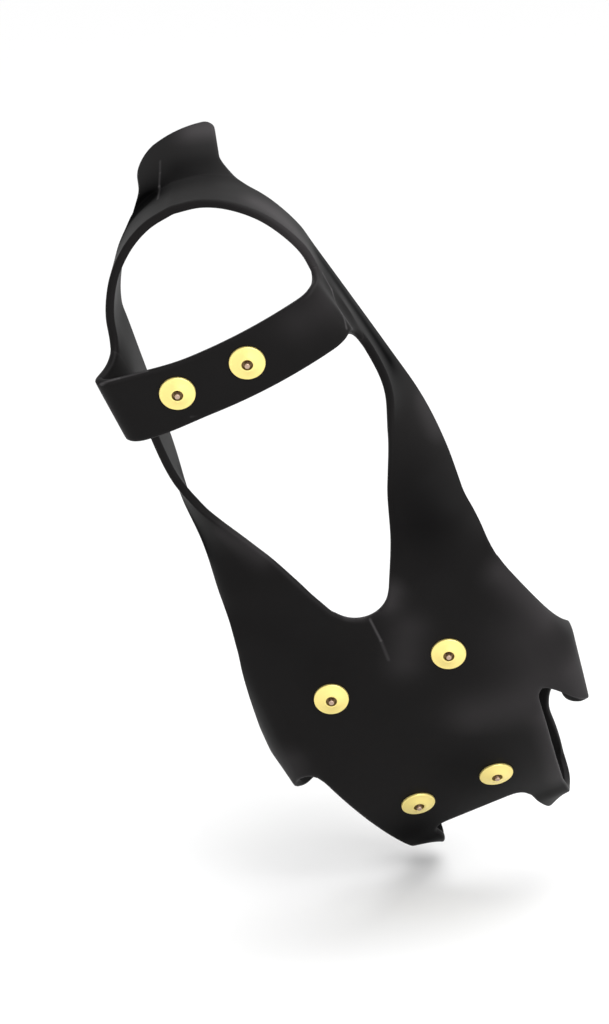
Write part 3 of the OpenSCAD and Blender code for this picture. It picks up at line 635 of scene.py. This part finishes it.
# painted light and shade on the rubber: above 0 a pale painted sheen and highlights, partly wear; below 0
# painted shade, darker and with less specular: [from, to, reach in mm, amount]
shades = [
    [(18.0, 30.0, 5.0), (38.0, 33.0, 6.0), 10.5, 0.32],  # pad
    [(48.0, 8.0, 4.0), (48.0, 20.0, 4.0), 14.0, 0.25],
    [(11.0, -15.0, 3.0), (4.0, -3.0, 3.0), 7.0, 0.25],
    [(8.7, -29.0, 3.0), (11.0, -32.0, 3.0), 5.0, 0.45],
    # a painted highlight along the rim of the notch
    [(-7.5, -28.3, 5.6), (-2.0, -25.6, 5.6), 1.5, 0.9],
    [(-2.0, -25.6, 5.6), (4.0, -26.2, 5.6), 1.5, 0.9],
    [(4.7, 55.0, 11.6), (4.7, 62.0, 13.0), 16.0, -0.4],
    [(-29.0, -28.0, 3.0), (-20.0, -15.0, 3.0), 12.0, -0.15],
    [(40.0, 44.0, 8.0), (31.0, 80.0, 23.0), 5.0, 0.45],
    [(49.5, -22.0, 5.3), (56.0, 2.6, 9.3), 6.0, 0.36],  # toe loop
    [(55.3, 39.0, 11.0), (57.0, 30.0, 10.0), 7.0, 0.42],
    [(-51.0, 20.0, 5.0), (-52.0, 24.0, 6.0), 6.0, 0.3],
    [(-27.0, 80.0, 23.6), (-24.0, 98.0, 48.0), 19.0, -0.85],  # toe ears
    [(21.0, 90.0, 30.0), (23.0, 96.0, 38.0), 10.0, -0.4],
    [(47.0, -80.6, 34.0), (47.0, -71.4, 31.0), 6.0, 0.3],  # arms
    [(35.0, -57.0, 13.0), (33.0, -50.0, 10.0), 14.0, -0.5],
    [(-35.5, -71.0, 18.2), (-25.2, -60.5, 12.2), 5.0, 0.35],
    [(-46.0, -62.0, 26.5), (-44.0, -90.0, 30.0), 9.0, -1.0],
    [(27.5, -177.0, 30.0), (36.7, -155.0, 18.0), 6.0, 0.6],  # heel band
    [(44.0, -103.0, 31.0), (40.5, -150.0, 30.0), 11.0, -1.0],
    [(32.3, -169.2, 33.1), (35.8, -162.4, 27.3), 6.0, 0.25],
    [(-14.0, -185.0, 48.0), (-24.0, -178.0, 42.0), 12.0, -1.0],
    [(-8.0, -189.0, 46.0), (12.0, -188.0, 46.0), 8.0, -0.4],
    [(15.0, -191.0, 74.0), (10.0, -191.5, 74.0), 6.0, 0.7],  # pull tab
    [(3.0, -189.5, 56.5), (12.0, -187.6, 56.4), 6.0, -0.4],
    [(27.0, -144.0, 3.0), (38.0, -145.0, 5.0), 8.0, 0.2]]  # heel strap


def shadeField(points):
    # each place fades with the square of the distance from its line
    total = np.zeros(len(points))
    for start, end, reach, amount in shades:
        run = np.subtract(end, start)
        t = np.clip((points - start) @ run / (run @ run), 0, 1)
        away = np.linalg.norm(points - start - t[:, None] * run, axis=1) / reach
        total += amount * np.exp(-away**2)
    return np.clip(total, -1, 1)


def zonePiece(name, zone):
    # the faces of one zone as a mesh of their own, closed where they were cut from the rest
    zones = np.zeros(len(whole.polygons), np.int32)
    whole.attributes["zone"].data.foreach_get("value", zones)
    total = np.zeros(len(zones), np.int32)
    whole.polygons.foreach_get("loop_total", total)
    corners = np.zeros(len(whole.loops), np.int32)
    whole.loops.foreach_get("vertex_index", corners)
    points = np.zeros(len(whole.vertices) * 3, np.float32)
    whole.vertices.foreach_get("co", points)
    keep = zones == zone
    used, index = np.unique(corners[np.repeat(keep, total)], return_inverse=True)
    counts = total[keep]
    mesh = bpy.data.meshes.new(name)
    mesh.vertices.add(len(used))
    mesh.vertices.foreach_set("co", points.reshape(-1, 3)[used].ravel())
    mesh.loops.add(len(index))
    mesh.loops.foreach_set("vertex_index", index.astype(np.int32))
    mesh.polygons.add(len(counts))
    mesh.polygons.foreach_set("loop_start", np.concatenate([[0], np.cumsum(counts)[:-1]]).astype(np.int32))
    mesh.update(calc_edges=True)
    mesh.validate()
    shape = bmesh.new()
    shape.from_mesh(mesh)
    bmesh.ops.holes_fill(shape, edges=shape.edges, sides=0)
    shape.to_mesh(mesh)
    shape.free()
    mesh.polygons.foreach_set("use_smooth", np.ones(len(mesh.polygons), bool))
    mesh.set_sharp_from_angle(angle=math.radians(moulded["sharp"]))
    rest = np.zeros(len(mesh.vertices) * 3, np.float32)
    mesh.vertices.foreach_get("co", rest)
    rest = rest.reshape(-1, 3) / mm - ballLine
    addAttribute(mesh, "rest", "FLOAT_VECTOR", "POINT", rest)
    addAttribute(mesh, "shade", "FLOAT", "POINT", shadeField(rest))
    return addObject(name, mesh)


harness = zonePiece("harness", 0)
heelStrap = zonePiece("strap_skin", 1)
pullTab = zonePiece("tab_skin", 2)
print("rubber pieces:", [len(o.data.polygons) for o in (harness, heelStrap, pullTab)])


def newMaterial(name):
    made = bpy.data.materials.new(name)
    made.use_nodes = True
    made.node_tree.nodes.clear()
    return made, made.node_tree.nodes


def addNode(nodes, kind, inputs=None, **settings):
    # inputs are plain values or the outputs of other nodes
    made = nodes.new(kind)
    for key, value in settings.items():
        setattr(made, key, value)
    for key, value in (inputs or {}).items():
        if isinstance(value, bpy.types.NodeSocket):
            made.id_data.links.new(value, made.inputs[key])
        else:
            made.inputs[key].default_value = value
    return made


def mathNode(nodes, operation, a, b, **settings):
    return addNode(nodes, "ShaderNodeMath", {0: a, 1: b}, operation=operation, **settings).outputs["Value"]


def noise(nodes, vector, scale, detail=3.0, roughness=0.5):
    inputs = {"Vector": vector, "Scale": scale, "Detail": detail, "Roughness": roughness}
    return addNode(nodes, "ShaderNodeTexNoise", inputs).outputs["Fac"]


def spread(nodes, value, start=0.0, end=1.0, low=0.0, high=1.0):
    # the range from start to end carried over to low and high, and held there beyond it
    inputs = {"Value": value, "From Min": start, "From Max": end, "To Min": low, "To Max": high}
    return addNode(nodes, "ShaderNodeMapRange", inputs).outputs["Result"]


def tint(nodes, factor, a, b):
    # colour a where the factor is 0, b where it is 1
    inputs = {"Factor": factor, "A": a, "B": b}
    return addNode(nodes, "ShaderNodeMix", inputs, data_type="RGBA").outputs["Result"]


def bumped(nodes, height, strength, depth=0.1):
    inputs = {"Height": height, "Strength": strength, "Distance": depth * mm}
    return addNode(nodes, "ShaderNodeBump", inputs).outputs["Normal"]


def finishSurface(nodes, inputs):
    surface = addNode(nodes, "ShaderNodeBsdfPrincipled", inputs)
    addNode(nodes, "ShaderNodeOutputMaterial", {"Surface": surface.outputs["BSDF"]})


rubberLook = dict(
    # dark and pale are the rubber's own tone; the next colour is painted sheen and highlight, partly wear;
    # the darkest one is painted shade with its specular turned down; line paints highlights along creases and
    # edges
    dark=(0.0036, 0.0032, 0.0032, 1), pale=(0.0066, 0.006, 0.0061, 1), worn=(0.048, 0.044, 0.046, 1),
    paintedShade=(0.0012, 0.0012, 0.0013, 1), line=(0.11, 0.105, 0.108, 1),
    clouds=(38.0, 4.0, 0.6), grains=(2600.0, 2.0, 0.5),  # scale, detail and roughness of the noise
    roughLow=0.42, roughHigh=0.58, specular=0.075, paintedShadeSpecular=0.0008,
    # edge: a painted highlight on sharp edges, found by their pointiness
    edge=0.2, edgeFrom=0.52, edgeTo=0.62, grain=0.12)

# pale lines painted as highlights along fine creases, rims and bends: [from, to, half width in mm, strength]
creaseHighlights = [
    [(0.3, -25.4, 3.0), (0.2, -15.0, 3.0), 0.8, 0.36],  # pad
    [(0.2, -15.0, 3.0), (-0.6, -6.5, 3.0), 1.0, 0.16],
    [(-3.5, -191.1, 63.2), (-4.2, -189.6, 57.3), 0.7, 0.18],  # pull tab and heel band
    [(-4.2, -189.6, 57.3), (-5.2, -187.8, 51.2), 0.7, 0.22],
    [(-5.2, -187.8, 51.2), (-5.5, -188.1, 41.1), 0.8, 0.3],
    [(38.4, -149.5, 18.3), (38.9, -143.3, 16.9), 0.9, 0.3],  # heel strap
    [(38.9, -143.3, 16.9), (39.6, -136.9, 10.2), 0.9, 0.35],
    [(39.6, -136.9, 10.2), (39.4, -132.5, 7.0), 0.9, 0.35],
    [(-46.0, -149.0, 4.5), (-38.0, -148.9, 4.2), 0.9, 0.5],
    [(-38.0, -148.9, 4.2), (-28.0, -147.3, 4.4), 0.9, 0.35],
    [(-22.0, -125.4, 3.6), (-19.8, -124.8, 3.8), 0.9, 0.5]]


def creaseGroup():
    # one on a line between two places, falling smoothly to nothing at its half width
    made = bpy.data.node_groups.new("crease", "ShaderNodeTree")
    for name, kind in (("From", "Vector"), ("To", "Vector"), ("Width", "Float")):
        made.interface.new_socket(name, in_out="INPUT", socket_type="NodeSocket" + kind)
    made.interface.new_socket("Mask", in_out="OUTPUT", socket_type="NodeSocketFloat")
    nodes = made.nodes
    given = nodes.new("NodeGroupInput").outputs
    rest = addNode(nodes, "ShaderNodeAttribute", attribute_name="rest")

    def vector(operation, a, b):
        node = addNode(nodes, "ShaderNodeVectorMath", {0: a, 1: b}, operation=operation)
        return node.outputs["Value" if operation in ("DOT_PRODUCT", "DISTANCE") else "Vector"]

    run = vector("SUBTRACT", given["To"], given["From"])
    away = vector("SUBTRACT", rest.outputs["Vector"], given["From"])
    share = mathNode(nodes, "DIVIDE", vector("DOT_PRODUCT", away, run), vector("DOT_PRODUCT", run, run),
                     use_clamp=True)
    nearest = addNode(nodes, "ShaderNodeVectorMath", {0: run, "Scale": share}, operation="SCALE")
    gap = vector("DISTANCE", away, nearest.outputs["Vector"])
    inputs = {"Value": gap, "From Max": given["Width"], "To Min": 1.0, "To Max": 0.0}
    fade = addNode(nodes, "ShaderNodeMapRange", inputs, interpolation_type="SMOOTHSTEP")
    addNode(nodes, "NodeGroupOutput", {"Mask": fade.outputs["Result"]})
    return made


def rubberMaterial():
    v = rubberLook
    made, nodes = newMaterial("rubber")
    where = addNode(nodes, "ShaderNodeTexCoord").outputs["Object"]
    clouds = noise(nodes, where, *v["clouds"])
    grain = noise(nodes, where, *v["grains"])
    shade = addNode(nodes, "ShaderNodeAttribute", attribute_name="shade").outputs["Fac"]
    sharp = addNode(nodes, "ShaderNodeNewGeometry").outputs["Pointiness"]
    # painted shade where the shade attribute is below 0; painted sheen and highlight where it is above 0 and
    # on sharp edges; painted highlights along the creases
    paintedShade = spread(nodes, shade, end=-1.0)
    edge = spread(nodes, sharp, v["edgeFrom"], v["edgeTo"], high=v["edge"])
    layers = [(spread(nodes, shade), v["worn"]), (paintedShade, v["paintedShade"]), (edge, v["worn"])]
    group = creaseGroup()
    for start, end, width, strength in creaseHighlights:
        ends = {"From": start, "To": end, "Width": width}
        crease = addNode(nodes, "ShaderNodeGroup", ends, node_tree=group)
        layers.append((mathNode(nodes, "MULTIPLY", crease.outputs["Mask"], strength), v["line"]))
    colour = tint(nodes, clouds, v["dark"], v["pale"])
    for mask, paint in layers:
        colour = tint(nodes, mask, colour, paint)
    finishSurface(nodes, {
        "Base Color": colour, "Roughness": spread(nodes, clouds, low=v["roughLow"], high=v["roughHigh"]),
        "Specular IOR Level": spread(nodes, paintedShade, low=v["specular"], high=v["paintedShadeSpecular"]),
        "Normal": bumped(nodes, grain, v["grain"])})
    return made


goldLook = dict(
    bright=(0.87, 0.72, 0.25, 1), dull=(0.17, 0.11, 0.045, 1), roughLow=0.31, roughHigh=0.46, metallic=0.72,
    rings=7.0, ringDepth=0.25, socket=(1.9, 2.05), head=(1.6, 2.2))  # the last two: where dull turns bright


def goldMaterial():
    # bright outside the socket's radius and above the head's height, with turned rings; the dull colour
    # inside the socket is painted shade in the recess, partly the socket's own darker tone
    v = goldLook
    made, nodes = newMaterial("gold_plating")
    radius = addNode(nodes, "ShaderNodeAttribute", attribute_name="radius").outputs["Fac"]
    height = addNode(nodes, "ShaderNodeAttribute", attribute_name="height").outputs["Fac"]
    shine = mathNode(nodes, "MAXIMUM", spread(nodes, radius, *v["socket"]), spread(nodes, height, *v["head"]))
    line = addNode(nodes, "ShaderNodeCombineXYZ", {"X": mathNode(nodes, "MULTIPLY", radius, v["rings"])})
    rings = noise(nodes, line.outputs["Vector"], 1.0)
    finishSurface(nodes, {
        "Base Color": tint(nodes, shine, v["dull"], v["bright"]), "Metallic": v["metallic"],
        "Roughness": spread(nodes, rings, low=v["roughLow"], high=v["roughHigh"]),
        "Normal": bumped(nodes, rings, v["ringDepth"])})
    return made


metalLooks = dict(
    carbide=dict(dark=(0.32, 0.22, 0.16, 1), pale=(0.6, 0.45, 0.36, 1), rough=0.45, specks=3000.0),
    steel=dict(dark=(0.42, 0.42, 0.43, 1), pale=(0.6, 0.6, 0.61, 1), rough=0.38, specks=900.0), relief=0.2)


def metalMaterial(name):
    # bare metal with fine specks
    v = metalLooks[name]
    made, nodes = newMaterial(name)
    specks = noise(nodes, addNode(nodes, "ShaderNodeTexCoord").outputs["Object"], v["specks"])
    finishSurface(nodes, {
        "Base Color": tint(nodes, specks, v["dark"], v["pale"]), "Metallic": 1.0, "Roughness": v["rough"],
        "Normal": bumped(nodes, specks, metalLooks["relief"])})
    return made


rubber, gold = rubberMaterial(), goldMaterial()
carbide, steel = metalMaterial("carbide"), metalMaterial("steel")
for pieces, material, slot in (
        ((harness, heelStrap, pullTab), rubber, "rubber"), (studPieces, gold, "stud_plating"),
        (pinPieces, carbide, "pin_carbide"), (washerPieces, steel, "washer_steel")):
    for piece in pieces:
        piece.data.materials.clear()
        piece.data.materials.append(material)
print("materials set")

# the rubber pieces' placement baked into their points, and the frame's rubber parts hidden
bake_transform(harness)
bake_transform(heelStrap)
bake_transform(pullTab)
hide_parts("sole_pad", "toe_loop", "left_toe_ear", "right_toe_ear", "left_arm", "right_arm",
            "heel_band")
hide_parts("heel_strap")
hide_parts("pull_tab")

# the photograph's camera, from below and behind
shot = dict(
    at=(0.27306, -0.68555, -1.18479), right=(0.91106, 0.41198, -0.01562), up=(0.36071, -0.77819, 0.51412),
    lens=140.625, sensor=36.0, near=0.05, far=50.0)
viewRight, viewUp = Vector(shot["right"]).normalized(), Vector(shot["up"]).normalized()
viewBack = viewRight.cross(viewUp).normalized()
camera = addObject("camera", bpy.data.cameras.new("camera"))
camera.data.lens, camera.data.sensor_width = shot["lens"], shot["sensor"]
camera.data.clip_start, camera.data.clip_end = shot["near"], shot["far"]
camera.matrix_world = (Matrix.Translation(Vector(shot["at"]))
                       @ Matrix((viewRight, viewUp, viewBack)).transposed().to_4x4())
bpy.context.scene.camera = camera

# a pale floor under the toe as the photograph stands, seen only from its upper side
ground = dict(toe=(0.0, 0.149, 0.03), gap=0.013, tilt=16.0, half=12.0, pale=(0.9, 0.9, 0.9, 1))
floorTilt = math.radians(ground["tilt"])
floorUp = viewUp * math.cos(floorTilt) + viewBack * math.sin(floorTilt)
floorAway = viewUp * math.sin(floorTilt) - viewBack * math.cos(floorTilt)
floorMid = Vector(ground["toe"]) - floorUp * ground["gap"]
floorMesh = bpy.data.meshes.new("floor")
floorMesh.from_pydata([floorMid + (viewRight * a + floorAway * b) * ground["half"]
                       for a, b in ((-1, -1), (1, -1), (1, 1), (-1, 1))], [], [(0, 1, 2, 3)])
floor = addObject("floor", floorMesh)
floorLook, nodes = newMaterial("floor")
floorBlend = addNode(nodes, "ShaderNodeMixShader", {
    "Fac": addNode(nodes, "ShaderNodeNewGeometry").outputs["Backfacing"],
    1: addNode(nodes, "ShaderNodeBsdfDiffuse", {"Color": ground["pale"]}).outputs["BSDF"],
    2: addNode(nodes, "ShaderNodeBsdfTransparent").outputs["BSDF"]})
addNode(nodes, "ShaderNodeOutputMaterial", {"Surface": floorBlend.outputs["Shader"]})
floorMesh.materials.append(floorLook)

# white world for camera and reflections, plain grey fill for the rest
studio = dict(
    target=(0.0, 0.02, 0.02), fill=0.19, white=1.0, sun=2.9, sunAngle=78.0, sunSide=0.3,
    front=((0.35, 0.35, 1.0), 1.5, 1.1, 14.5),  # softboxes: direction, distance, size and power
    side=((1.0, 0.3, 0.35), 1.3, 0.7, 1.5))
world = bpy.data.worlds.new("studio")
bpy.context.scene.world = world
world.use_nodes = True
nodes = world.node_tree.nodes
nodes.clear()
paths = addNode(nodes, "ShaderNodeLightPath").outputs
shown = mathNode(nodes, "MAXIMUM", paths["Is Glossy Ray"], paths["Is Transmission Ray"])
seen = mathNode(nodes, "MAXIMUM", paths["Is Camera Ray"], shown)
level = spread(nodes, seen, low=studio["fill"], high=studio["white"])
sky = addNode(nodes, "ShaderNodeBackground", {"Color": (1, 1, 1, 1), "Strength": level})
addNode(nodes, "ShaderNodeOutputWorld", {"Surface": sky.outputs["Background"]})


def aimLamp(lamp, direction):
    lamp.rotation_mode = "QUATERNION"
    lamp.rotation_quaternion = direction.to_track_quat("-Z", "Y")


def softbox(name, direction, away, size, power):
    # a round area lamp that looks at the target; direction is (right, up, towards the camera)
    light = bpy.data.lights.new(name, "AREA")
    light.shape = "DISK"
    light.size, light.energy = size, power
    aim = (viewRight * direction[0] + viewUp * direction[1] + viewBack * direction[2]).normalized()
    lamp = addObject(name, light)
    lamp.location = Vector(studio["target"]) + aim * away
    aimLamp(lamp, -aim)


sunLight = bpy.data.lights.new("sun", "SUN")
sunLight.energy, sunLight.angle = studio["sun"], math.radians(studio["sunAngle"])
aimLamp(addObject("sun", sunLight), -floorUp - viewRight * studio["sunSide"])
for name in ("front", "side"):
    softbox(name, *studio[name])
print("camera, floor and lamps set")

bpy.context.scene.view_settings.view_transform = "Standard"
